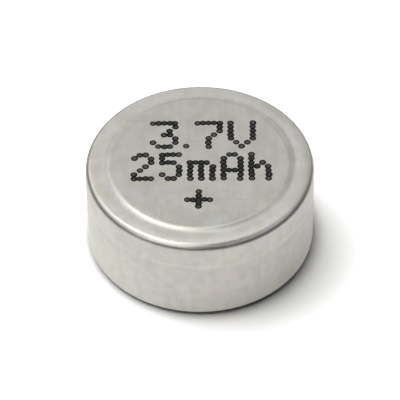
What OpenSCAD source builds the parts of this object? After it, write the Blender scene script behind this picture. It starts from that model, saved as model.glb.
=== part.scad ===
// Rechargeable lithium-ion button cell for a hearing aid.
//
// Two drawn cups close over each other without a crimp. The positive can is the outer one: it makes the
// marked face and the whole side wall. The negative cap is pushed up inside it and makes the underside.
// A moulded ring keeps the two walls apart. Inside stands one electrode roll with its axis upright, held
// between two insulating discs, with a metal tab from each electrode to its own cup.
//
// Millimetres. The origin is the middle of the negative contact face, and +Z points to the positive face.

/* [Cell] */
// Diameter of the straight side wall
cell_d = 9.4; // [9:0.1:12]
// Height from one contact face to the other
cell_h = 4.1; // [3.8:0.05:5.6]
// Clearance between two pieces that seat on each other
seat_gap = 0.005; // [0.002:0.001:0.01]

/* [Positive can] */
// Sheet thickness of the can
can_wall = 0.15; // [0.12:0.01:0.18]
// Outside radius between the face and the side wall
can_corner_r = 0.3; // [0.24:0.02:0.36]
// Diameter of the raised flat in the middle of the face
face_d = 7.2; // [6.4:0.1:7.4]
// Height of the raised flat above the rim round it
face_rise = 0.07; // [0.05:0.01:0.09]
// Radial width of the slope from the raised flat down to the rim
slope_w = 0.4; // [0.35:0.05:0.5]
// Outside radius of the crest where the flat turns into the slope
crest_r = 0.45; // [0.3:0.05:0.5]
// Width of the flat of the rim, before it begins to fall to the corner
rim_w = 0.14; // [0.06:0.01:0.2]
// Radius of the rim's gentle fall to the corner
rim_fall_r = 2.5; // [2:0.1:3.5]
// Outside radius of the can's cut edge
mouth_r = 0.07; // [0.04:0.01:0.09]
// Distance from the can's cut edge to the plane of the negative face
mouth_lift = 0.11; // [0.07:0.01:0.13]

/* [Negative cap] */
// Sheet thickness of the cap
cap_wall = 0.15; // [0.12:0.01:0.18]
// Outside radius between the underside and the cap's wall
cap_corner_r = 0.35; // [0.28:0.01:0.42]

/* [Sealing ring] */
// Thickness of the sleeve between the two walls
seal_wall = 0.1; // [0.08:0.01:0.14]
// Thickness of the web over the cap's edge
seal_web = 0.12; // [0.08:0.01:0.16]
// Thickness of the skirt that hangs inside the cap
skirt_wall = 0.08; // [0.06:0.01:0.1]
// Length of the skirt below the cap's edge
skirt_h = 0.5; // [0.3:0.05:0.8]
// Gap between the ring's top and the start of the can's inside corner
seal_headroom = 0.02; // [0.01:0.01:0.06]
// Depth of the ring's foot inside the can's cut edge
foot_recess = 0.03; // [0.01:0.01:0.05]

/* [Electrode roll] */
// Diameter of the open core of the roll
core_d = 1.5; // [1.4:0.1:2.2]
// Thickness of the coated aluminium strip
cathode_t = 0.13; // [0.1:0.01:0.16]
// Thickness of the coated copper strip
anode_t = 0.13; // [0.1:0.01:0.16]
// Thickness of each separator film
separator_t = 0.03; // [0.02:0.005:0.04]
// Clearance between neighbouring layers of the roll
layer_gap = 0.005; // [0.002:0.001:0.01]
// How far the separators stand past the anode at each end
separator_margin = 0.08; // [0.05:0.01:0.12]
// How far the anode stands past the cathode at each end
anode_margin = 0.05; // [0.03:0.01:0.08]
// Least radial clearance round the taped roll
roll_clearance = 0.03; // [0.02:0.01:0.08]
// Thickness of the tape round the roll
wrap_t = 0.04; // [0.03:0.01:0.06]

/* [Tabs and insulating discs] */
// Thickness of each metal tab
tab_t = 0.08; // [0.06:0.01:0.1]
// Width of each metal tab
tab_w = 1; // [0.8:0.1:1.2]
// Reach of the positive tab from the cell's axis
positive_tab_reach = 3; // [2:0.1:3.3]
// Length of the positive tab's leg down the open core
positive_leg_h = 1.6; // [1:0.1:2.2]
// Reach of the negative tab past the cell's axis
negative_tab_reach = 1.5; // [0.5:0.1:2.5]
// Length of the negative tab's leg up the side of the roll
negative_leg_h = 1.8; // [1:0.1:2.4]
// Thickness of each insulating disc
disc_t = 0.08; // [0.05:0.01:0.1]
// Clearance on each side of a tab where it passes a disc
notch_gap = 0.05; // [0.02:0.01:0.1]

/* [Hidden] */
$fn = 96;

// Turn of each straight step that a bend in a section is drawn with, in degrees: where it shows, and inside
seen_step = 4.5;
hidden_step = 10;

// Can: the face, its rim and the wall
can_r = cell_d / 2;
rim_z = cell_h - face_rise;
face_r = face_d / 2;
slope_end_r = face_r + slope_w;
slope_angle = 2 * atan(face_rise / slope_w);
hollow_r = slope_w / sin(slope_angle) - crest_r;
rim_fall_x = slope_end_r + rim_w;
rim_fall_z = rim_z - rim_fall_r;
corner_x = can_r - can_corner_r;
corner_angle = asin((corner_x - rim_fall_x) / (rim_fall_r - can_corner_r));
corner_z = rim_fall_z + (rim_fall_r - can_corner_r) * cos(corner_angle);
can_bore_r = can_r - can_wall;
can_ceiling_z = cell_h - can_wall;

// Ring: between the can's wall and the cap's
seal_outer_r = can_bore_r - seat_gap;
seal_bore_r = seal_outer_r - seal_wall;
seal_top_z = corner_z - seal_headroom;
foot_z = mouth_lift + foot_recess;

// Cap: its edge stands in the ring's channel
cap_r = seal_bore_r - seat_gap;
cap_bore_r = cap_r - cap_wall;
cap_edge_z = seal_top_z - seal_web - seat_gap;
cap_floor_r = cap_r - cap_corner_r;
skirt_r = cap_bore_r - seat_gap - skirt_wall;
channel_z = cap_edge_z + seat_gap;
skirt_end_z = channel_z - skirt_h;

// Stack between the cap's floor and the can's ceiling
negative_tab_z = cap_wall;
lower_disc_z = negative_tab_z + tab_t + layer_gap;
roll_z = lower_disc_z + disc_t + layer_gap;
positive_tab_z = can_ceiling_z - tab_t;
upper_disc_z = min(positive_tab_z, rim_z - can_wall) - layer_gap - disc_t;
roll_top_z = upper_disc_z - layer_gap;
roll_h = roll_top_z - roll_z;

// Roll: every layer is a band of half turns, which swap between two centres half a pitch apart
pitch = cathode_t + anode_t + 2 * separator_t + 4 * layer_gap;
core_r = core_d / 2;
inner_separator_r = core_r + cathode_t + layer_gap;
anode_r = inner_separator_r + separator_t + layer_gap;
outer_separator_r = anode_r + anode_t + layer_gap;
roll_room_r = min(skirt_r, cap_floor_r) - roll_clearance - wrap_t - tab_t - 2 * layer_gap;
half_turns = floor(2 * (roll_room_r - core_r - pitch / 4) / pitch) - 1;
last_half = half_turns - 1;

// Tabs: the legs lie against the bare ends of the two strips
positive_leg_r = core_r - layer_gap - tab_t;
negative_leg_r = anode_r + last_half * pitch / 2 + anode_t + layer_gap;

// Tape: round the leg of the negative tab, which stands furthest out
wrap_bore_r = negative_leg_r + tab_t + layer_gap + pitch / 4;
wrap_r = wrap_bore_r + wrap_t;

// Points of an arc about [cx, cy], from one angle to another, in steps of no more than the given turn.
function arc(cx, cy, r, from, to, step = seen_step) =
    let (steps = max(1, ceil(abs(to - from) / step)))
    [for (i = [0 : steps]) let (a = from + (to - from) * i / steps) [cx + r * cos(a), cy + r * sin(a)]];

function reversed(points) = [for (i = [len(points) - 1 : -1 : 0]) points[i]];

// A line without its first point.
function after_first(points) = [for (i = [1 : len(points) - 1]) points[i]];

// The can's face and corner as one line from the axis to the wall, moved inwards by inset.
function face_line(inset, step) = concat(
    [[0, cell_h - inset]],
    arc(face_r, cell_h - crest_r, crest_r - inset, 90, 90 - slope_angle, step / 2),
    after_first(arc(slope_end_r, rim_z + hollow_r, hollow_r + inset, 270 - slope_angle, 270, step / 2)),
    arc(rim_fall_x, rim_fall_z, rim_fall_r - inset, 90, 90 - corner_angle, step / 2),
    after_first(arc(corner_x, corner_z, can_corner_r - inset, 90 - corner_angle, 0, step))
);

// A pressed or moulded ring or cup: its section turned about the cell's axis.
module turned(section) {
    rotate_extrude() polygon(section);
}

// Places what is built about the first centre of the winding, so that the roll stands on the cell's axis.
module in_roll() {
    translate([-pitch / 4, 0, 0]) children();
}

// Places what is built about the centre of one half turn, with the middle of that half turn on +Y.
module on_half(half) {
    in_roll()
        translate([half % 2 == 0 ? 0 : pitch / 2, 0, 0])
            rotate([0, 0, half % 2 == 0 ? 0 : 180]) children();
}

// Half of an upright band of thickness t, with its inside at radius r.
module half_band(r, t, z, h) {
    rotate_extrude(angle = 180, start = 0)
        translate([r, z]) square([t, h]);
}

// A strip wound from half turn 0 to half turn last, with its inside at radius r on half turn 0.
module wound_strip(last, r, t, margin) {
    for (half = [0 : last])
        on_half(half) half_band(r + half * pitch / 2, t, roll_z + margin, roll_h - 2 * margin);
}

// How far from its centre a round of radius r meets the sides of a tab.
function tab_chord_y(r) = sqrt(r ^ 2 - (tab_w / 2) ^ 2);

// A tab's leg: a curved strip as wide as the tab, with its inside at radius r.
module tab_leg(r, z, h) {
    intersection() {
        half_band(r, tab_t, z, h);
        translate([-tab_w / 2, 0, z - h]) cube([tab_w, r + 2 * tab_t, 3 * h]);
    }
}

// The flat end of a tab, from y0 to y1.
module tab_flat(z, y0, y1) {
    translate([-tab_w / 2, y0, z]) cube([tab_w, y1 - y0, tab_t]);
}

// An insulating disc as wide as the taped roll, less its children.
module insulating_disc(z) {
    difference() {
        translate([0, 0, z]) cylinder(h = disc_t, r = wrap_r);
        translate([0, 0, z - disc_t]) children();
    }
}

// Drawn nickel-plated steel cup, open downwards, with the raised flat pressed in its face.
module positive_can() {
    color("silver")
        turned(concat(
            face_line(0, seen_step),
            arc(can_r - mouth_r, mouth_lift + mouth_r, mouth_r, 0, -90),
            [[can_bore_r, mouth_lift]],
            reversed(face_line(can_wall, hidden_step))
        ));
}

// Drawn nickel-plated steel cup, open upwards, whose edge stands in the ring's channel.
module negative_cap() {
    color("lightgray")
        turned(concat(
            [[0, 0]],
            arc(cap_floor_r, cap_corner_r, cap_corner_r, -90, 0),
            [[cap_r, cap_edge_z], [cap_bore_r, cap_edge_z]],
            arc(cap_floor_r, cap_corner_r, cap_corner_r - cap_wall, 0, -90, hidden_step),
            [[0, cap_wall]]
        ));
}

// Moulded ring: a sleeve with a foot round the cap's corner, and a web and skirt hooked over its edge.
module sealing_ring() {
    corner_reach = cap_corner_r + seat_gap;
    foot_angle = asin((cap_corner_r - foot_z) / corner_reach);
    color("dimgray")
        turned(concat(
            [[seal_outer_r, foot_z], [seal_outer_r, seal_top_z], [skirt_r, seal_top_z],
             [skirt_r, skirt_end_z], [skirt_r + skirt_wall, skirt_end_z],
             [skirt_r + skirt_wall, channel_z], [seal_bore_r, channel_z]],
            arc(cap_floor_r, cap_corner_r, corner_reach, 0, -foot_angle, hidden_step)
        ));
}

// Aluminium strip coated black on both sides. It starts bare in the core, for its tab.
module cathode_strip() {
    color("black")
        wound_strip(last_half - 2, core_r, cathode_t, separator_margin + anode_margin);
}

// Copper strip coated with graphite on both sides. Its last half turn is bare outside, for its tab.
module anode_strip() {
    color("darkslategray")
        wound_strip(last_half, anode_r, anode_t, separator_margin);
}

module inner_separator() {
    color("white") wound_strip(last_half, inner_separator_r, separator_t, 0);
}

module outer_separator() {
    color("white") wound_strip(last_half - 1, outer_separator_r, separator_t, 0);
}

// Tape wound once round the roll and the leg of the negative tab.
module wrap_tape() {
    color("darkkhaki")
        translate([0, 0, roll_z])
            difference() {
                cylinder(h = roll_h, r = wrap_r);
                translate([0, 0, -roll_h]) cylinder(h = 3 * roll_h, r = wrap_bore_r);
            }
}

// Disc over the roll, with a hole for the leg of the positive tab.
module upper_insulator() {
    color("goldenrod")
        insulating_disc(upper_disc_z)
            cylinder(h = 3 * disc_t, r = core_r + pitch / 4);
}

// Disc under the roll, with a notch for the leg of the negative tab.
module lower_insulator() {
    notch_y = tab_chord_y(negative_leg_r) - notch_gap;
    color("goldenrod")
        insulating_disc(lower_disc_z)
            on_half(last_half)
                translate([-tab_w / 2 - notch_gap, notch_y, 0])
                    cube([tab_w + 2 * notch_gap, wrap_r, 3 * disc_t]);
}

// Aluminium tab: a leg against the start of the cathode, folded outwards flat under the can's ceiling.
module positive_tab() {
    leg_end_z = roll_top_z - positive_leg_h;
    color("gainsboro")
        on_half(0) {
            tab_leg(positive_leg_r, leg_end_z, can_ceiling_z - leg_end_z);
            tab_flat(positive_tab_z, tab_chord_y(positive_leg_r + tab_t / 2), positive_tab_reach);
        }
}

// Nickel tab: a leg against the end of the anode, folded inwards flat on the cap's floor.
module negative_tab() {
    leg_top_z = roll_z + negative_leg_h;
    color("lightsteelblue")
        on_half(last_half) {
            tab_leg(negative_leg_r, negative_tab_z, leg_top_z - negative_tab_z);
            tab_flat(negative_tab_z, -negative_tab_reach, tab_chord_y(negative_leg_r + tab_t / 2));
        }
}

positive_can();
negative_cap();
sealing_ring();
cathode_strip();
anode_strip();
inner_separator();
outer_separator();
wrap_tape();
upper_insulator();
lower_insulator();
positive_tab();
negative_tab();
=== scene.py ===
"""The finished look of a rechargeable hearing aid battery.

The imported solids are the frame. They keep their shape and place, and each gets the finish of its own stuff:
satin nickel plate, moulded plastic, rolled coatings, films and foils. The ink marks on the positive face are new
meshes, printed drop by drop. Everything is in metres, with the cell standing on its negative face at z = 0.
"""

import logging
import math
from dataclasses import dataclass
from enum import Enum
from typing import Any, Sequence, Union

import bpy
import numpy as np
from mathutils import Matrix, Vector

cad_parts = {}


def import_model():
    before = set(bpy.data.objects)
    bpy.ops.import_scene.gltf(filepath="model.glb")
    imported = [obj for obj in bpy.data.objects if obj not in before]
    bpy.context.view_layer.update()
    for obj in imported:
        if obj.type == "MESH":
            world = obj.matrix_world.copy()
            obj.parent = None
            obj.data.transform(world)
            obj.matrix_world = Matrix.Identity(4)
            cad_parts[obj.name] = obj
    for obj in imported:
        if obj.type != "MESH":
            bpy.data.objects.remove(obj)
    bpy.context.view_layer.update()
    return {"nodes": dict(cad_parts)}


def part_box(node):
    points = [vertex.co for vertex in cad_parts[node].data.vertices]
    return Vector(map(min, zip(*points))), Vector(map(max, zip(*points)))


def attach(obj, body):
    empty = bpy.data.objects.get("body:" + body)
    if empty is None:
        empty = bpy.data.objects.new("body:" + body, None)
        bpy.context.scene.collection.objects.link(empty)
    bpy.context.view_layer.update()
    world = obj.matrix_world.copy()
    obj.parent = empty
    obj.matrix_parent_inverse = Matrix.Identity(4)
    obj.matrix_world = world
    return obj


LOG = logging.getLogger("hearing_aid_battery")
MM = 0.001
PER_MM = 1.0 / MM
BODY = "root"
WHITE = (1.0, 1.0, 1.0, 1.0)

Colour = tuple[float, float, float]
Number = Union[int, float]


# ----------------------------------------------------------------------------------------------------------------
# Shader graphs
# ----------------------------------------------------------------------------------------------------------------


class Wire:
    """An output socket that arithmetic can be written on. Each operator adds one Math node."""

    def __init__(self, graph: "Graph", socket: bpy.types.NodeSocket) -> None:
        """Keeps the socket and the graph that it belongs to."""
        self.graph = graph
        self.socket = socket

    def _math(self, operation: str, *operands: Union["Wire", Number]) -> "Wire":
        """Adds a Math node on the operands, in their order."""
        return self.graph.add("ShaderNodeMath", {"operation": operation}, dict(enumerate(operands)))

    def __add__(self, other: Union["Wire", Number]) -> "Wire":
        """Sum."""
        return self._math("ADD", self, other)

    def __radd__(self, other: Number) -> "Wire":
        """Sum with a number on the left."""
        return self._math("ADD", other, self)

    def __sub__(self, other: Union["Wire", Number]) -> "Wire":
        """Difference."""
        return self._math("SUBTRACT", self, other)

    def __rsub__(self, other: Number) -> "Wire":
        """Difference with a number on the left."""
        return self._math("SUBTRACT", other, self)

    def __mul__(self, other: Union["Wire", Number]) -> "Wire":
        """Product."""
        return self._math("MULTIPLY", self, other)

    def __rmul__(self, other: Number) -> "Wire":
        """Product with a number on the left."""
        return self._math("MULTIPLY", other, self)

    def __pow__(self, other: Union["Wire", Number]) -> "Wire":
        """Power."""
        return self._math("POWER", self, other)

    def __rpow__(self, other: Number) -> "Wire":
        """Power of a number on the left."""
        return self._math("POWER", other, self)

    def __gt__(self, other: Union["Wire", Number]) -> "Wire":
        """1 where this is the larger, else 0."""
        return self._math("GREATER_THAN", self, other)

    def __lt__(self, other: Union["Wire", Number]) -> "Wire":
        """1 where this is the smaller, else 0."""
        return self._math("LESS_THAN", self, other)

    def between(self, low: float, high: float) -> "Wire":
        """Rises smoothly from 0 at low to 1 at high. With high under low, it falls from 1 at high to 0 at low."""
        if high < low:
            return 1.0 - self.between(high, low)
        return self.graph.add("ShaderNodeMapRange", {"interpolation_type": "SMOOTHSTEP"},
                              {"Value": self, "From Min": low, "From Max": high})


class Graph:
    """The node tree of one material or of the world."""

    def __init__(self, tree: bpy.types.NodeTree) -> None:
        """Empties the tree and keeps it."""
        self.tree = tree
        tree.nodes.clear()

    def add(self, kind: str, settings: dict[str, Any] | None = None,
            inputs: dict[Union[str, int], Any] | None = None, output: Union[str, int] = 0) -> Wire:
        """Adds one node.

        Args:
            kind: The node's type, such as ShaderNodeMath.
            settings: Its own settings, which are set before its sockets.
            inputs: The value or the wire for each input socket, by name or by number.
            output: The output socket to hand back, by name or by number.

        Returns:
            The wire on the node's output, or on nothing where the node has no output.
        """
        node = self.tree.nodes.new(kind)
        for name, value in (settings or {}).items():
            setattr(node, name, value)
        for key, value in (inputs or {}).items():
            socket = node.inputs[key]
            if isinstance(value, Wire):
                self.tree.links.new(value.socket, socket)
            else:
                socket.default_value = value
        return Wire(self, node.outputs[output]) if node.outputs else Wire(self, None)

    def rays(self) -> tuple[Wire, Wire, Wire]:
        """What kind of ray meets the surface.

        Returns:
            1 on the camera's own rays, 1 on rays that come off metal or through glass, and how many matt bounces a
            ray has behind it.
        """
        path = self.add("ShaderNodeLightPath").socket.node
        camera, glossy, clear, bounces = (Wire(self, path.outputs[name]) for name in (
            "Is Camera Ray", "Is Glossy Ray", "Is Transmission Ray", "Diffuse Depth"))
        return camera, glossy + clear, bounces

    def object_mm(self) -> Wire:
        """Object coordinates in millimetres."""
        point = self.add("ShaderNodeTexCoord", output="Object")
        return self.scaled(point, (PER_MM, PER_MM, PER_MM))

    def scaled(self, vector: Wire, factors: Colour | Wire) -> Wire:
        """A vector or colour times a factor on each axis, or times one wire."""
        if isinstance(factors, Wire):
            return self.add("ShaderNodeVectorMath", {"operation": "SCALE"}, {0: vector, "Scale": factors})
        return self.add("ShaderNodeVectorMath", {"operation": "MULTIPLY"}, {0: vector, 1: factors})

    def moved(self, vector: Wire, by: Colour) -> Wire:
        """A vector moved by a fixed step."""
        return self.add("ShaderNodeVectorMath", {"operation": "ADD"}, {0: vector, 1: by})

    def split(self, vector: Wire) -> tuple[Wire, Wire, Wire]:
        """The three parts of a vector."""
        node = self.add("ShaderNodeSeparateXYZ", inputs={"Vector": vector}).socket.node
        return tuple(Wire(self, node.outputs[i]) for i in range(3))

    def join(self, x: Wire | float, y: Wire | float, z: Wire | float) -> Wire:
        """A vector from its three parts."""
        return self.add("ShaderNodeCombineXYZ", inputs={"X": x, "Y": y, "Z": z})

    def noise(self, vector: Wire, scale: float, detail: float = 2.0, roughness: float = 0.5,
              distortion: float = 0.0) -> Wire:
        """Noise from 0 to 1 about 0.5, with scale bumps a unit of the vector."""
        return self.add("ShaderNodeTexNoise", {"noise_dimensions": "3D"}, {
            "Vector": vector, "Scale": scale, "Detail": detail, "Roughness": roughness, "Distortion": distortion})

    def cells(self, vector: Wire, scale: float) -> tuple[Wire, Wire]:
        """Scattered cells on a flat sheet.

        Args:
            vector: The place on the sheet. Its third part isn't read.
            scale: How many cells lie on a unit of the vector.

        Returns:
            The distance to the middle of the nearest cell, in cells, and that cell's own random number.
        """
        node = self.add("ShaderNodeTexVoronoi", {"voronoi_dimensions": "2D"},
                        {"Vector": vector, "Scale": scale}).socket.node
        chance, _, _ = self.split(Wire(self, node.outputs["Color"]))
        return Wire(self, node.outputs["Distance"]), chance

    def blend(self, factor: Wire | float, low: Wire | Colour, high: Wire | Colour) -> Wire:
        """A colour between two colours, by a factor from 0 to 1."""
        sides = [(*c, 1.0) if isinstance(c, tuple) else c for c in (low, high)]
        return self.add("ShaderNodeMix", {"data_type": "RGBA"}, {0: factor, 6: sides[0], 7: sides[1]}, output=2)

    def round_mm(self, point: Wire) -> tuple[Wire, Wire, Wire]:
        """Distance from the cell's axis in millimetres, angle round it in radians, and height in millimetres."""
        x, y, z = self.split(point)
        radius = (x * x + y * y) ** 0.5
        angle = self.add("ShaderNodeMath", {"operation": "ARCTAN2"}, {0: y, 1: x})
        return radius, angle, z

    def bump(self, height: Wire, depth_mm: float) -> Wire:
        """A bumped normal, from a height of 0 to 1 that stands for depth_mm."""
        return self.add("ShaderNodeBump", inputs={"Height": height, "Distance": depth_mm * MM, "Strength": 1.0})

    def surface(self, **inputs: Any) -> None:
        """Ends a material's graph in a Principled shader with these sockets, spaces in names written as _."""
        named = {name.replace("_", " "): self._padded(value) for name, value in inputs.items()}
        shader = self.add("ShaderNodeBsdfPrincipled", inputs=named)
        self.add("ShaderNodeOutputMaterial", inputs={"Surface": shader})

    @staticmethod
    def _padded(value: Any) -> Any:
        """A colour of three numbers with its fourth."""
        return (*value, 1.0) if isinstance(value, tuple) and len(value) == 3 else value


# ----------------------------------------------------------------------------------------------------------------
# Finishes
# ----------------------------------------------------------------------------------------------------------------


def tinted(colour: Colour, factors: Colour | float) -> Colour:
    """A colour with its parts times a factor each, or all times one factor."""
    each = factors if isinstance(factors, tuple) else (factors,) * 3
    return tuple(part * factor for part, factor in zip(colour, each))


class Lay(Enum):
    """Which way the fine marks of a metal run."""

    DRAWN = "up the wall, from the drawing die"
    RINGED = "in rings round the axis"
    ROLLED = "along Y, from the rolls"


@dataclass(frozen=True)
class Finish:
    """What every finish has.

    Attributes:
        name: The material's name.
        colour: Its main colour, linear.
        roughness: Its main roughness.
    """

    name: str
    colour: Colour
    roughness: float

    def material(self) -> bpy.types.Material:
        """Makes the material with this finish."""
        material = bpy.data.materials.new(self.name)
        material.use_nodes = True
        self.paint(Graph(material.node_tree))
        return material

    def paint(self, graph: Graph) -> None:
        """Builds the finish in an empty graph. Each finish has its own."""
        raise NotImplementedError


@dataclass(frozen=True)
class SatinNickel(Finish):
    """Satin nickel plate: soft clouds of warm and cool tone, a fine tooth, faint streaks, pits and hairlines.

    The roughness stays above about 0.28 all over, because the denoiser draws a line where it crosses 0.27.

    Attributes:
        warm: Colour of the warmer clouds.
        blush: Factors that turn a colour into that of the pinkish clouds.
        lay: Which way the streaks run.
        drift: How much the tone drifts over the surface.
        rough_swing: How far the roughness follows the tone.
        tooth_mm: Depth of the fine tooth.
        wear: How plain the pits and hairlines are, from 0 to 1.
        worn: How bright the bottom of a pit is against the plate.
        clouds_per_mm: How many clouds lie on a millimetre.
        blotches_per_mm: The same for the small blotches.
        teeth_per_mm: The same for the tooth.
        pits_per_mm: The same for the places where a pit may lie.
        hairline_mm: Width and length of the places where a hairline may lie, in millimetres.
        hairlines: Each set's angle in degrees and the share of the places in it that have a hairline.
        wall_mm: Distance from the axis at which the upright wall stands, in millimetres.
        ridge_mm: Height of the faint ridge that the drawing die left round the wall, in millimetres. At 0 there is
            none.
        ridge_highlight_tone: Colour of its crest, a painted highlight.
        ridge_shade_tone: Colour of the band under it, a painted shade.
        sheen_ring_mm: Distance from the axis from which the face's rim is painted brighter, a painted sheen, in
            millimetres. At 0 it isn't.
        sheen_ring_end_mm: Distance from the axis at which that painted sheen has faded again, and up to which it is
            full.
        sheen_ring_gain: How much brighter the painted sheen makes the colour there.
    """

    warm: Colour = (0.72, 0.70, 0.65)
    blush: Colour = (1.04, 0.975, 0.975)
    lay: Lay = Lay.DRAWN
    drift: float = 0.05
    rough_swing: float = 0.18
    tooth_mm: float = 0.0022
    wear: float = 0.5
    worn: float = 0.45
    clouds_per_mm: float = 0.55
    blotches_per_mm: float = 2.3
    teeth_per_mm: float = 22.0
    pits_per_mm: float = 1.7
    hairline_mm: tuple[float, float] = (0.16, 2.6)
    hairlines: tuple[tuple[float, float], ...] = ((4.0, 0.028), (83.0, 0.016), (37.0, 0.014))
    wall_mm: float = 4.7
    ridge_mm: float = 0.0
    ridge_highlight_tone: Colour = (0.86, 0.85, 0.83)
    ridge_shade_tone: Colour = (0.3, 0.29, 0.25)
    sheen_ring_mm: float = 0.0
    sheen_ring_end_mm: tuple[float, float] = (4.62, 4.4)
    sheen_ring_gain: float = 0.13

    def _sheet(self, graph: Graph, point: Wire) -> Wire:
        """The surface laid flat in millimetres: X and Y on a level face, length round and height on the wall."""
        x, y, _ = graph.split(point)
        radius, angle, height = graph.round_mm(point)
        upright = radius > self.wall_mm - 0.2
        return graph.join(x + upright * (angle * self.wall_mm - x), y + upright * (height - y), 0.0)

    def _streaks(self, graph: Graph, point: Wire, sheet: Wire) -> Wire:
        """Noise drawn out along the lay: many streaks a millimetre across it, and few along it."""
        radius, angle, height = graph.round_mm(point)
        if self.lay is Lay.DRAWN:
            stretched = graph.scaled(sheet, (3.4, 0.45, 1.0))
        elif self.lay is Lay.RINGED:
            stretched = graph.join(radius * 12.0, angle * 1.5, height * 2.0)
        else:
            stretched = graph.scaled(point, (16.0, 1.2, 4.0))
        return graph.noise(stretched, 1.0, detail=3.0, roughness=0.55, distortion=0.15)

    def _hairlines(self, graph: Graph, sheet: Wire, turn: float, share: float) -> Wire:
        """Short thin scratches: the middles of long narrow cells, most of them left out.

        Args:
            graph: The material's graph.
            sheet: The surface laid flat.
            turn: The scratches' angle against the sheet's second axis, in degrees.
            share: Share of the cells that have a scratch.

        Returns:
            1 in a scratch, else 0.
        """
        turned = graph.add("ShaderNodeMapping", {"vector_type": "TEXTURE"}, {
            "Vector": sheet, "Rotation": (0.0, 0.0, math.radians(turn)), "Scale": (*self.hairline_mm, 1.0)})
        distance, chance = graph.cells(turned, 1.0)
        return distance.between(0.15, 0.06) * (chance > 1.0 - share)

    def _ridge(self, graph: Graph, point: Wire) -> tuple[Wire, Wire]:
        """A low rounded rib round the wall that wanders about ridge_mm and shows in patches.

        Returns:
            The rib, with its painted highlight, and the painted shade band under it, each from 0 to 1.
        """
        radius, angle, height = graph.round_mm(point)
        wander = graph.noise(graph.join(angle * 1.3, 0.0, 0.0), 1.0, detail=2.0)
        level = height - (wander - 0.5) * 0.2 - self.ridge_mm
        patches = graph.noise(graph.join(angle * 2.2, height * 0.4, 3.0), 1.0, detail=2.0).between(0.34, 0.62)
        here = patches * (radius > self.wall_mm - 0.05)
        rib = level.between(-0.14, 0.0) * level.between(0.2, 0.02)
        ridge_shade = level.between(-0.75, -0.16) * level.between(-0.04, -0.14)
        return rib * here, ridge_shade * here

    def _tint(self, graph: Graph, point: Wire, tone: Wire) -> Wire:
        """The plate's colour: main colour, warmer and pinkish clouds, and duller where the tone is low."""
        warmth = graph.noise(graph.scaled(point, (0.36, 0.36, 0.55)), 1.0, detail=3.0, distortion=0.8)
        pink = graph.noise(graph.moved(point, (7.0, 3.0, 5.0)), 0.5, detail=2.0)
        warmer = graph.blend(warmth.between(0.36, 0.62), self.colour, self.warm)
        blushed = graph.blend(pink.between(0.42, 0.66) * 0.8, warmer, tinted(self.colour, self.blush))
        return graph.blend(1.0 - tone.between(0.36, 0.64), blushed, tinted(self.warm, 1.0 - 2.0 * self.drift))

    def paint(self, graph: Graph) -> None:
        """Tone = clouds, blotches and streaks. Marks = pits and hairlines. Height = tooth and tone less marks."""
        point = graph.object_mm()
        sheet = self._sheet(graph, point)
        clouds = graph.noise(point, self.clouds_per_mm, detail=4.0, roughness=0.55, distortion=0.5)
        blotches = graph.noise(point, self.blotches_per_mm, detail=3.0, roughness=0.5, distortion=0.3)
        tooth = graph.noise(point, self.teeth_per_mm, detail=2.0, roughness=0.6)
        tone = clouds * 0.4 + blotches * 0.4 + self._streaks(graph, point, sheet) * 0.2
        distance, chance = graph.cells(sheet, self.pits_per_mm)
        pits = distance.between(0.11, 0.03) * chance.between(0.68, 1.0)
        scratches = sum(self._hairlines(graph, sheet, turn, share) for turn, share in self.hairlines)
        marks = (pits * 0.6 + scratches * 0.45) * self.wear
        colour = graph.blend(marks, self._tint(graph, point, tone), tinted(self.colour, self.worn))
        relief = tooth * 0.42 + blotches * 0.5 + clouds * 0.8 - marks * 0.25
        # Painted sheen: the colour of a ring on the face's rim is made brighter, standing in for a brighter
        # reflection.
        if self.sheen_ring_mm > 0.0:
            radius, _, _ = graph.round_mm(point)
            begun = radius.between(self.sheen_ring_mm - 0.08, self.sheen_ring_mm + 0.08)
            painted_sheen = begun * radius.between(*self.sheen_ring_end_mm)
            colour = graph.scaled(colour, 1.0 + painted_sheen * self.sheen_ring_gain)
        if self.ridge_mm > 0.0:
            rib, ridge_shade = self._ridge(graph, point)
            relief = relief + rib * 1.6
            # Painted highlight on the rib's crest and painted shade in the band under it, blended into the colour.
            colour = graph.blend(rib * 0.3, graph.blend(ridge_shade * 0.09, colour, self.ridge_shade_tone), self.ridge_highlight_tone)
        graph.surface(Base_Color=colour, Metallic=1.0, Normal=graph.bump(relief, self.tooth_mm),
                      Roughness=self.roughness + (tone - 0.5) * self.rough_swing + marks * 0.2)


@dataclass(frozen=True)
class MouldedPlastic(Finish):
    """Moulded plastic: a slight drift in tone, a matt spark-eroded tooth and flow lines round the ring.

    Attributes:
        tooth_mm: Depth of the tooth.
        clouds_per_mm: How many clouds lie on a millimetre.
        teeth_per_mm: The same for the tooth.
        lines_per_mm: The same for the flow lines, across them.
    """

    tooth_mm: float = 0.002
    clouds_per_mm: float = 1.6
    teeth_per_mm: float = 34.0
    lines_per_mm: float = 20.0

    def paint(self, graph: Graph) -> None:
        """Tone = clouds, the pale ones a third brighter. Height = tooth and flow lines."""
        point = graph.object_mm()
        clouds = graph.noise(point, self.clouds_per_mm, detail=4.0, roughness=0.6)
        tooth = graph.noise(point, self.teeth_per_mm, detail=2.0, roughness=0.6)
        radius, angle, height = graph.round_mm(point)
        across = graph.join(radius * self.lines_per_mm, angle * 1.2, height * self.lines_per_mm)
        flow = graph.noise(across, 1.0, detail=2.0)
        pale = tuple(part * 1.35 + 0.01 for part in self.colour)
        graph.surface(Base_Color=graph.blend(clouds.between(0.3, 0.7), self.colour, pale),
                      Roughness=self.roughness + (clouds - 0.5) * 0.2,
                      Normal=graph.bump(tooth * 0.6 + flow * 0.4, self.tooth_mm))


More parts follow.
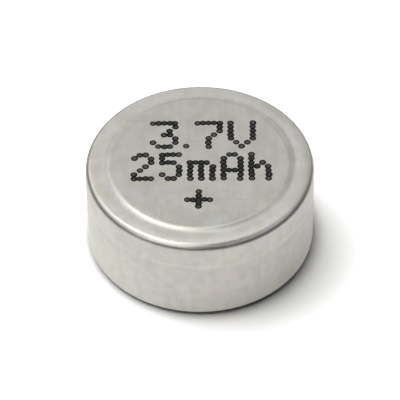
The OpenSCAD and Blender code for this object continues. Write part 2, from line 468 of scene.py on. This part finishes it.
@dataclass(frozen=True)
class PowderCoating(Finish):
    """Rolled electrode powder on foil: grains of two tones, roller lines, and a dull sheen where it is pressed.

    Attributes:
        grain_tone: Colour of the paler grains.
        grain_per_mm: How many grains lie on a millimetre.
        lines_per_mm: The same for the roller lines.
        pressed_per_mm: The same for the patches that are pressed smoother.
        grain_mm: Height of a grain.
    """

    grain_tone: Colour = (0.12, 0.12, 0.12)
    grain_per_mm: float = 30.0
    lines_per_mm: float = 7.0
    pressed_per_mm: float = 2.2
    grain_mm: float = 0.004

    def paint(self, graph: Graph) -> None:
        """Tone = grains and roller lines. Roughness falls in pressed patches. Height = grains, a little the lines."""
        point = graph.object_mm()
        grains = graph.noise(point, self.grain_per_mm, detail=3.0, roughness=0.75)
        _, angle, height = graph.round_mm(point)
        rolled = graph.noise(graph.join(angle * 1.5, 0.0, height * self.lines_per_mm), 1.0, detail=4.0, roughness=0.6)
        pressed = graph.noise(point, self.pressed_per_mm, detail=2.0)
        colour = graph.blend((grains * 0.7 + rolled * 0.3).between(0.42, 0.66), self.colour, self.grain_tone)
        graph.surface(Base_Color=colour, Roughness=self.roughness - (pressed - 0.5) * 0.25,
                      Normal=graph.bump(grains * 0.8 + rolled * 0.2, self.grain_mm))


@dataclass(frozen=True)
class ThinFilm(Finish):
    """Polymer film: milky streaks along the web, fine pores, and a soft gloss.

    Attributes:
        streak_tone: Colour of the clearer streaks.
        gloss: Weight of the clear top gloss.
        streaks_per_mm: How many streaks lie on a millimetre, across them.
        pores_per_mm: The same for the pores.
        wrinkles_per_mm: The same for the wrinkles.
        wrinkle_mm: Height of a wrinkle.
    """

    streak_tone: Colour = (0.8, 0.8, 0.78)
    gloss: float = 0.2
    streaks_per_mm: float = 6.0
    pores_per_mm: float = 40.0
    wrinkles_per_mm: float = 3.0
    wrinkle_mm: float = 0.003

    def paint(self, graph: Graph) -> None:
        """Tone = streaks. Roughness = streaks and pores. Height = pores and wrinkles."""
        point = graph.object_mm()
        radius, angle, height = graph.round_mm(point)
        across = graph.join(angle * 1.4, radius * 1.1, height * self.streaks_per_mm)
        streaks = graph.noise(across, 1.0, detail=4.0, roughness=0.6)
        pores = graph.noise(point, self.pores_per_mm, detail=2.0, roughness=0.8)
        wrinkles = graph.noise(point, self.wrinkles_per_mm, detail=2.0, distortion=0.6)
        graph.surface(Base_Color=graph.blend(streaks.between(0.3, 0.7), self.colour, self.streak_tone),
                      Roughness=self.roughness + (streaks - 0.5) * 0.2 + (pores - 0.5) * 0.1,
                      Coat_Weight=self.gloss, Coat_Roughness=0.25,
                      Normal=graph.bump(pores * 0.3 + wrinkles * 0.7, self.wrinkle_mm))


@dataclass(frozen=True)
class PrintingInk(Finish):
    """Quick-drying ink: a near-black edge where it pooled, and a greyer middle, greyest in a drop that stands alone.

    Attributes:
        thin_colour: Colour in the middle of a drop that stands alone.
        full_colour: Colour inside a stroke, where drops run together.
        rim: The ink's depth at which the dark edge begins to fade, and at which it has gone.
        crowd: The ink's load at which drops begin to count as run together, and at which they are.
        mottles_per_mm: How many spots of the mottling lie on a millimetre.
        grains_per_mm: The same for the dried grain.
        grain_mm: Depth of the dried grain.
    """

    thin_colour: Colour = (0.2, 0.197, 0.19)
    full_colour: Colour = (0.08, 0.08, 0.08)
    rim: tuple[float, float] = (0.48, 0.86)
    crowd: tuple[float, float] = (1.3, 2.1)
    mottles_per_mm: float = 14.0
    grains_per_mm: float = 45.0
    grain_mm: float = 0.0012

    def paint(self, graph: Graph) -> None:
        """Tone = edge colour, then thin or full colour where the ink's depth rises. Height = dried grain."""
        point = graph.object_mm()
        depth = graph.add("ShaderNodeAttribute", {"attribute_name": "ink_depth"}, output="Fac")
        load = graph.add("ShaderNodeAttribute", {"attribute_name": "ink_load"}, output="Fac")
        mottle = graph.noise(point, self.mottles_per_mm, detail=3.0, roughness=0.65)
        inside = (depth + (mottle - 0.5) * 0.3).between(*self.rim)
        crowded = (load + (mottle - 0.5) * 0.5).between(*self.crowd)
        middle = graph.blend(crowded, self.thin_colour, self.full_colour)
        dried = graph.noise(point, self.grains_per_mm, detail=2.0, roughness=0.7)
        graph.surface(Base_Color=graph.blend(inside, self.colour, middle), Specular_IOR_Level=0.05,
                      Roughness=self.roughness - inside * 0.08 + (mottle - 0.5) * 0.15,
                      Normal=graph.bump(dried, self.grain_mm))


# ----------------------------------------------------------------------------------------------------------------
# The cell's own pieces
# ----------------------------------------------------------------------------------------------------------------


def dress(nodes: dict[str, bpy.types.Object], finishes: dict[str, Finish]) -> None:
    """Gives carried-over solids their finish, and reports each.

    Args:
        nodes: The frame's solids by name.
        finishes: The finish for each solid's name.
    """
    made: dict[Finish, bpy.types.Material] = {}
    for name, finish in finishes.items():
        if finish not in made:
            made[finish] = finish.material()
        solid = nodes[name]
        solid.data.materials.clear()
        solid.data.materials.append(made[finish])
        LOG.info("%s: %s", name, finish.name)


@dataclass
class Casing:
    """The can, the cap and the ring that seals them."""

    can: Finish = SatinNickel("satin_nickel_can", (0.704, 0.704, 0.69), 0.312, warm=(0.72, 0.697, 0.635), drift=0.065,
                              tooth_mm=0.005, ridge_mm=2.8, sheen_ring_mm=3.92)
    cap: Finish = SatinNickel("satin_nickel_cap", (0.73, 0.72, 0.69), 0.31, lay=Lay.RINGED, wear=0.8)
    ring: Finish = MouldedPlastic("sealing_plastic", (0.022, 0.024, 0.026), 0.5)

    def build(self, nodes: dict[str, bpy.types.Object]) -> None:
        """Dresses the three solids."""
        dress(nodes, {"positive_can": self.can, "negative_cap": self.cap, "sealing_ring": self.ring})


@dataclass
class ElectrodeRoll:
    """The four wound strips and the tape round them."""

    cathode: Finish = PowderCoating("cathode_powder", (0.012, 0.012, 0.014), 0.72, grain_tone=(0.05, 0.05, 0.054))
    anode: Finish = PowderCoating("anode_graphite", (0.035, 0.036, 0.038), 0.6, grain_tone=(0.13, 0.13, 0.135),
                                  grain_per_mm=22.0)
    separator: Finish = ThinFilm("separator_film", (0.86, 0.86, 0.84), 0.5, streak_tone=(0.74, 0.75, 0.74))
    tape: Finish = ThinFilm("tape_film", (0.5, 0.27, 0.05), 0.3, streak_tone=(0.62, 0.36, 0.09), gloss=0.5)

    def build(self, nodes: dict[str, bpy.types.Object]) -> None:
        """Dresses the five solids."""
        dress(nodes, {
            "cathode_strip": self.cathode, "anode_strip": self.anode, "wrap_tape": self.tape,
            "inner_separator": self.separator, "outer_separator": self.separator})


@dataclass
class EndFittings:
    """The insulating discs above and below the roll, and the two tabs."""

    disc: Finish = ThinFilm("insulating_film", (0.66, 0.55, 0.3), 0.45, streak_tone=(0.56, 0.45, 0.23))
    aluminium: Finish = SatinNickel("aluminium_foil", (0.86, 0.87, 0.88), 0.33, warm=(0.85, 0.85, 0.85),
                                    lay=Lay.ROLLED)
    nickel: Finish = SatinNickel("nickel_foil", (0.7, 0.67, 0.61), 0.33, warm=(0.7, 0.65, 0.57), lay=Lay.ROLLED)

    def build(self, nodes: dict[str, bpy.types.Object]) -> None:
        """Dresses the four solids."""
        dress(nodes, {
            "upper_insulator": self.disc, "lower_insulator": self.disc,
            "positive_tab": self.aluminium, "negative_tab": self.nickel})


GLYPHS: dict[str, tuple[str, ...]] = {
    "2": (".##.", "#..#", "...#", "..#.", ".#..", "#...", "####"),
    "3": ("#####", "....#", "...#.", "..##.", "....#", "#...#", ".###."),
    "5": ("####", "#...", "###.", "...#", "...#", "#..#", ".##."),
    "7": ("#####", "....#", "....#", "...#.", "..#..", "..#..", "..#.."),
    ".": (".", ".", ".", ".", ".", ".", "#"),
    "V": ("#...#", "#...#", "#...#", "#...#", "#...#", ".#.#.", "..#.."),
    "m": (".....", ".....", "####.", "#.#.#", "#.#.#", "#.#.#", "#.#.#"),
    "A": (".##.", "#..#", "#..#", "#..#", "####", "#..#", "#..#"),
    "h": ("#...", "#...", "#.#.", "##.#", "#..#", "#..#", "#..#"),
}

PLUS = ((-2.0, 0.0), (-1.0, 0.0), (0.0, 0.0), (1.0, 0.0), (2.0, 0.0), (0.0, 2.0), (0.0, 1.0), (0.0, -0.8),
        (0.0, -1.6))


@dataclass
class InkMarks:
    """The rating and the plus sign, printed in drops on the positive face.

    Attributes:
        face_z: Height of the face that the ink lies on.
        drop_r: Radius of one drop.
        column: Distance between neighbouring drops across a line.
        row: Distance between neighbouring drops down a line.
        film: Height of a drop above the face.
        sunk: How deep a drop's flat underside lies in the face.
        rings: Rings of points in a drop.
        spokes: Points round a drop.
        lines: Each line's text, the place of its first column and of its top row, in columns and rows from the
            middle of the face.
        plus: The middle of the plus sign, in columns and rows.
        turn: Angle of the lines against the cell's X axis, in degrees.
        stray: How far drops land from their place, as a share of the column.
        uneven: How far a drop's size strays, as a share of its radius.
        place_seed: Seed of the random places.
        size_seed: Seed of the random sizes.
        depth_spread: Width of the bell that a drop adds to the ink's depth, in radii of a drop.
        load_spread: The same for the ink's load, which reaches its neighbours.
        ink: The ink's finish.
    """

    face_z: float
    drop_r: float = 0.152 * MM
    column: float = 0.2285 * MM
    row: float = 0.2265 * MM
    film: float = 0.004 * MM
    sunk: float = 0.002 * MM
    rings: int = 9
    spokes: int = 28
    lines: tuple[tuple[str, float, float], ...] = (("3.7V", -8.4, 10.0), ("25mAh", -11.7, 1.9))
    plus: tuple[float, float] = (-0.15, -9.4)
    turn: float = -0.6
    stray: float = 0.045
    uneven: float = 0.03
    place_seed: int = 7
    size_seed: int = 11
    depth_spread: float = 0.9
    load_spread: float = 1.65
    ink: Finish = PrintingInk("printing_ink", (0.006, 0.006, 0.0065), 0.5)

    def _places(self) -> np.ndarray:
        """The middle of every drop, as an array of (x, y) in metres."""
        places = [np.array(PLUS) + self.plus]
        for text, first_column, top_row in self.lines:
            column = first_column
            for letter in text:
                cells = np.array([[mark == "#" for mark in row] for row in GLYPHS[letter]])
                down, across = np.nonzero(cells)
                places.append(np.stack([column + across, top_row - down], axis=1))
                column += cells.shape[1] + 1
        middles = np.concatenate(places) * (self.column, self.row)
        turn = math.radians(self.turn)
        middles = middles @ np.array([[math.cos(turn), math.sin(turn)], [-math.sin(turn), math.cos(turn)]])
        chance = np.random.default_rng(self.place_seed)
        return middles + chance.normal(0.0, self.stray * self.column, middles.shape)

    def _bells(self, points: np.ndarray, middles: np.ndarray, spread: float) -> np.ndarray:
        """The bell exp(-(distance / spread)^2) of every drop at every place.

        Args:
            points: (n, 2) places in the face.
            middles: (m, 2) middles of the drops.
            spread: The bell's width.

        Returns:
            (n, m) bells, each 1 in the middle of its drop.
        """
        gaps = np.linalg.norm(points[:, None, :] - middles[None, :, :], axis=2)
        return np.exp(-((gaps / spread) ** 2))

    def _drop(self) -> tuple[np.ndarray, np.ndarray]:
        """One drop as a closed lens: a low dome film * (1 - share^4) over a flat underside.

        Returns:
            Its points, first the top's middle, then the rings outwards and the underside's middle, and its faces as
            an array of triangles.
        """
        share = np.arange(1, self.rings + 1) / self.rings
        angle = np.arange(self.spokes) * (2.0 * np.pi / self.spokes)
        radius = share[:, None] * self.drop_r
        dome = (self.film * (1.0 - share ** 4))[:, None] + 0.0 * angle
        rings = np.stack([radius * np.cos(angle), radius * np.sin(angle), dome], axis=2).reshape(-1, 3)
        rings[-self.spokes:, 2] = -self.sunk
        points = np.concatenate([[[0.0, 0.0, self.film]], rings, [[0.0, 0.0, -self.sunk]]])
        here = np.arange(self.spokes)
        after = (here + 1) % self.spokes
        faces = [np.stack([0 * here, 1 + here, 1 + after], axis=1)]
        inner = (1 + np.arange(self.rings - 1) * self.spokes)[:, None]
        a, b = inner + here, inner + after
        c, d = b + self.spokes, a + self.spokes
        faces += [np.stack([a, d, c], axis=2).reshape(-1, 3), np.stack([a, c, b], axis=2).reshape(-1, 3)]
        last = 1 + (self.rings - 1) * self.spokes
        faces.append(np.stack([0 * here + len(points) - 1, last + after, last + here], axis=1))
        return points, np.concatenate(faces)

    def build(self) -> bpy.types.Object:
        """Makes the marks as one piece.

        Each point carries the ink's depth, the largest of all the drops' narrow bells there, so that every drop has
        its own dark edge, and the ink's load, the sum of all their wide bells.

        Returns:
            The piece, at the origin.
        """
        middles = self._places()
        drop, faces = self._drop()
        sizes = np.random.default_rng(self.size_seed).normal(1.0, self.uneven, len(middles))
        flat = middles[:, None, :] + drop[None, :, :2] * sizes[:, None, None]
        heights = np.broadcast_to(self.face_z + drop[:, 2], flat.shape[:2])
        points = np.concatenate([flat, heights[:, :, None]], axis=2).reshape(-1, 3)
        all_faces = (faces[None, :, :] + (np.arange(len(middles)) * len(drop))[:, None, None]).reshape(-1, 3)
        mesh = bpy.data.meshes.new("ink_marks")
        mesh.from_pydata(points.tolist(), [], all_faces.tolist())
        for name, spread, gather in (("ink_depth", self.depth_spread, np.max),
                                     ("ink_load", self.load_spread, np.sum)):
            values = gather(self._bells(points[:, :2], middles, spread * self.drop_r), axis=1)
            mesh.attributes.new(name, "FLOAT", "POINT").data.foreach_set("value", values.astype(np.float32))
        mesh.shade_smooth()
        mesh.materials.append(self.ink.material())
        piece = bpy.data.objects.new("ink_marks", mesh)
        bpy.context.scene.collection.objects.link(piece)
        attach(piece, BODY)
        LOG.info("ink_marks: %d drops, %d faces", len(middles), len(mesh.polygons))
        return piece


# ----------------------------------------------------------------------------------------------------------------
# The studio
# ----------------------------------------------------------------------------------------------------------------


@dataclass(frozen=True)
class Softbox:
    """A soft rectangular lamp that points at the cell.

    Attributes:
        name: The lamp's name.
        azimuth: Where it stands, in degrees round the cell, 0 in front and positive to the right.
        elevation: How high it stands, in degrees.
        width: Its width, level with the floor.
        height: Its other side.
        glow: The brightness of its face, where 1 is white.
        sheen_only: Whether it shows in shiny surfaces alone and leaves the floor as it is.
        distance: Its distance from the cell.
    """

    name: str
    azimuth: float
    elevation: float
    width: float
    height: float
    glow: float
    sheen_only: bool = False
    distance: float = 0.5

    def build(self, target: Vector) -> bpy.types.Object:
        """Hangs the lamp. Its power is glow * pi * width * height, at which its face has that brightness."""
        lamp = bpy.data.lights.new(self.name, "AREA")
        lamp.shape = "RECTANGLE"
        lamp.size = self.width
        lamp.size_y = self.height
        lamp.energy = self.glow * math.pi * self.width * self.height
        holder = bpy.data.objects.new(self.name, lamp)
        place = Vector(bearing(self.azimuth, self.elevation)) * self.distance
        holder.location = target + place
        holder.rotation_euler = place.to_track_quat("Z", "Y").to_euler()
        holder.visible_diffuse = not self.sheen_only
        bpy.context.scene.collection.objects.link(holder)
        return holder


def bearing(azimuth: float, elevation: float) -> Colour:
    """The direction to a place round the cell, 0 degrees in front (-Y) and positive to the right (+X)."""
    turn, rise = math.radians(azimuth), math.radians(elevation)
    return (math.sin(turn) * math.cos(rise), -math.cos(turn) * math.cos(rise), math.sin(rise))


@dataclass
class Studio:
    """The floor, the lamps and the camera.

    Attributes:
        floor_side: Width and depth of the floor.
        floor_drop: How far the floor lies under the negative face, so that the two never share a plane.
        floor_tone: The floor's own white.
        camera_lift: How much brighter than its own tone the floor shows to the camera.
        glossy_lift: How much brighter than its own tone the floor shows in metal and through glass.
        glossy_glow: The even glow that the floor adds there.
        contact_shadow: How far the lift for the camera is held back where the cell hems the floor in, a painted
            contact shadow at its foot.
        contact_shadow_mm: How far from the foot that painted shadow reaches.
        contact_shadow_open: How open the floor is, from 0 to 1, where the painted shadow is full and where it has
            gone.
        pool_mm: Distance from the cell's axis past which the floor in metal falls back to its own tone.
        sky: Brightness of the world in metal and through glass.
        under_sky: How much brighter it is there below the floor.
        lamps: The softboxes.
        aim_z: Height of the point that the camera looks at.
        elevation: The camera's elevation in degrees.
        distance: The camera's distance from that point.
        focal_px: Focal length in pixels of a 400 pixel picture.
        centre_px: Where that point falls in the picture, from its top left corner.
        roll: The camera's turn about its own axis in degrees, positive against the clock.
        picture_px: Width and height of the picture.
        sensor_mm: Width of the camera's sensor.
        nearest: The nearest distance that the camera sees.
        furthest: The furthest distance that it sees.
    """

    floor_side: float = 4.0
    floor_drop: float = 0.01 * MM
    floor_tone: float = 0.86
    camera_lift: float = 2.7
    glossy_lift: float = 0.62
    glossy_glow: float = 0.3
    contact_shadow: float = 0.75
    contact_shadow_mm: float = 0.8
    contact_shadow_open: tuple[float, float] = (0.4, 1.0)
    pool_mm: float = 9.0
    sky: float = 0.09
    under_sky: float = 0.4
    lamps: tuple[Softbox, ...] = (
        Softbox("key_softbox", azimuth=-105.0, elevation=66.0, width=0.24, height=0.4, glow=1.2),
        Softbox("rear_key_softbox", azimuth=-120.0, elevation=72.0, width=0.3, height=0.28, glow=0.7),
        Softbox("left_strip", azimuth=-95.0, elevation=34.0, width=0.9, height=0.25, glow=0.62),
        Softbox("rear_left_panel", azimuth=-150.0, elevation=50.0, width=0.5, height=0.5, glow=0.17),
        Softbox("back_panel", azimuth=180.0, elevation=38.0, width=1.0, height=0.6, glow=0.215),
        Softbox("wide_back_panel", azimuth=165.0, elevation=45.0, width=1.4, height=0.7, glow=0.178),
        Softbox("front_card", azimuth=-36.0, elevation=58.0, width=0.3, height=0.34, glow=1.35, sheen_only=True),
        Softbox("front_strip", azimuth=-28.0, elevation=29.0, width=0.4, height=0.2, glow=0.6, sheen_only=True),
        Softbox("front_right_card", azimuth=55.0, elevation=48.0, width=0.6, height=0.2, glow=0.42, sheen_only=True),
        Softbox("high_right_card", azimuth=150.0, elevation=68.0, width=0.35, height=0.3, glow=0.2, sheen_only=True),
        Softbox("right_card", azimuth=100.0, elevation=58.0, width=0.4, height=0.4, glow=0.12, sheen_only=True),
        Softbox("low_back_strip", azimuth=180.0, elevation=19.0, width=1.2, height=0.14, glow=0.35, sheen_only=True),
    )
    aim_z: float = 2.07 * MM
    elevation: float = 46.18
    distance: float = 126.9 * MM
    focal_px: float = 3061.4
    centre_px: tuple[float, float] = (200.09, 196.42)
    roll: float = -0.717
    picture_px: float = 400.0
    sensor_mm: float = 36.0
    nearest: float = 1.0 * MM
    furthest: float = 10.0

    def _pale_floor(self) -> bpy.types.Material:
        """Makes the floor's material: a matt white that is brighter to some rays, with a painted contact shadow at
        the cell's foot, and clear from below.

        For the camera, matt tone = floor_tone + camera_lift, held back near the cell's foot by a painted contact
        shadow that follows how hemmed in the floor is. In metal and through glass it is floor_tone + glossy_lift with
        an even glow, within pool_mm of the cell and where no matt bounce lies between. From below it is clear, so
        that the negative face can be looked at.

        Returns:
            The material.
        """
        material = bpy.data.materials.new("pale_floor")
        material.use_nodes = True
        material.cycles.emission_sampling = "NONE"
        graph = Graph(material.node_tree)
        camera, mirrored, bounces = graph.rays()
        # Painted contact shadow: ambient occlusion holds back the camera's lift where the cell hems the floor in,
        # whatever the lamps do.
        opening = graph.add("ShaderNodeAmbientOcclusion", {"samples": 16}, {"Distance": self.contact_shadow_mm * MM},
                            output="AO")
        painted_shadow_factor = 1.0 - self.contact_shadow * (1.0 - opening.between(*self.contact_shadow_open))
        radius, _, _ = graph.round_mm(graph.object_mm())
        pool = mirrored * (bounces < 0.5) * radius.between(self.pool_mm * 3.0, self.pool_mm)
        lift = camera * self.camera_lift * painted_shadow_factor + pool * self.glossy_lift
        plain = graph.add("ShaderNodeBsdfDiffuse", inputs={"Color": (self.floor_tone,) * 3 + (1.0,)})
        lifted = graph.add("ShaderNodeBsdfDiffuse", inputs={"Color": graph.join(lift, lift, lift)})
        matt = graph.add("ShaderNodeAddShader", inputs={0: plain, 1: lifted})
        glow = graph.add("ShaderNodeEmission", inputs={"Strength": pool * self.glossy_glow})
        above = graph.add("ShaderNodeAddShader", inputs={0: matt, 1: glow})
        below = graph.add("ShaderNodeBsdfTransparent")
        underside = graph.add("ShaderNodeNewGeometry", output="Backfacing")
        sheet = graph.add("ShaderNodeMixShader", inputs={0: underside, 1: above, 2: below})
        graph.add("ShaderNodeOutputMaterial", inputs={"Surface": sheet})
        return material

    def _floor(self) -> None:
        """A level square sheet just under the cell."""
        half = self.floor_side / 2
        square = [(x, y, -self.floor_drop) for x, y in ((-half, -half), (half, -half), (half, half), (-half, half))]
        mesh = bpy.data.meshes.new("floor")
        mesh.from_pydata(square, [], [(0, 1, 2, 3)])
        mesh.materials.append(self._pale_floor())
        floor = bpy.data.objects.new("floor", mesh)
        bpy.context.scene.collection.objects.link(floor)

    def _world(self) -> None:
        """The surround: white to the camera past the floor, and a low even sky in metal, brighter below the floor."""
        world = bpy.data.worlds.new("studio")
        bpy.context.scene.world = world
        world.use_nodes = True
        graph = Graph(world.node_tree)
        camera, mirrored, _ = graph.rays()
        _, _, rise = graph.split(graph.add("ShaderNodeTexCoord", output="Generated"))
        strength = camera + mirrored * (self.sky + (rise < 0.0) * self.under_sky)
        background = graph.add("ShaderNodeBackground", inputs={"Color": WHITE, "Strength": strength})
        graph.add("ShaderNodeOutputWorld", inputs={"Surface": background})

    def _camera(self) -> None:
        """The camera, on a sphere round the point that it looks at."""
        lens = bpy.data.cameras.new("camera")
        lens.sensor_width = self.sensor_mm
        lens.lens = self.focal_px / self.picture_px * self.sensor_mm
        lens.clip_start = self.nearest
        lens.clip_end = self.furthest
        middle = self.picture_px / 2
        lens.shift_x = (middle - self.centre_px[0]) / self.picture_px
        lens.shift_y = (self.centre_px[1] - middle) / self.picture_px
        camera = bpy.data.objects.new("camera", lens)
        away = Vector(bearing(0.0, self.elevation))
        camera.location = Vector((0.0, 0.0, self.aim_z)) + away * self.distance
        turn = away.to_track_quat("Z", "Y").to_matrix().to_4x4()
        camera.rotation_euler = (turn @ Matrix.Rotation(math.radians(self.roll), 4, "Z")).to_euler()
        bpy.context.scene.collection.objects.link(camera)
        bpy.context.scene.camera = camera

    def build(self) -> None:
        """Sets up the stage."""
        self._camera()
        self._floor()
        self._world()
        target = Vector((0.0, 0.0, self.aim_z))
        for lamp in self.lamps:
            lamp.build(target)
        bpy.context.scene.view_settings.view_transform = "Standard"


def main() -> None:
    """Builds the studio, dresses the frame and adds the marks."""
    logging.basicConfig(level=logging.INFO, format="%(name)s: %(message)s")
    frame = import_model()
    nodes = frame["nodes"]
    Studio().build()
    Casing().build(nodes)
    ElectrodeRoll().build(nodes)
    EndFittings().build(nodes)
    face_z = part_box("positive_can")[1].z
    InkMarks(face_z=face_z).build()


if __name__ == "__main__":
    main()
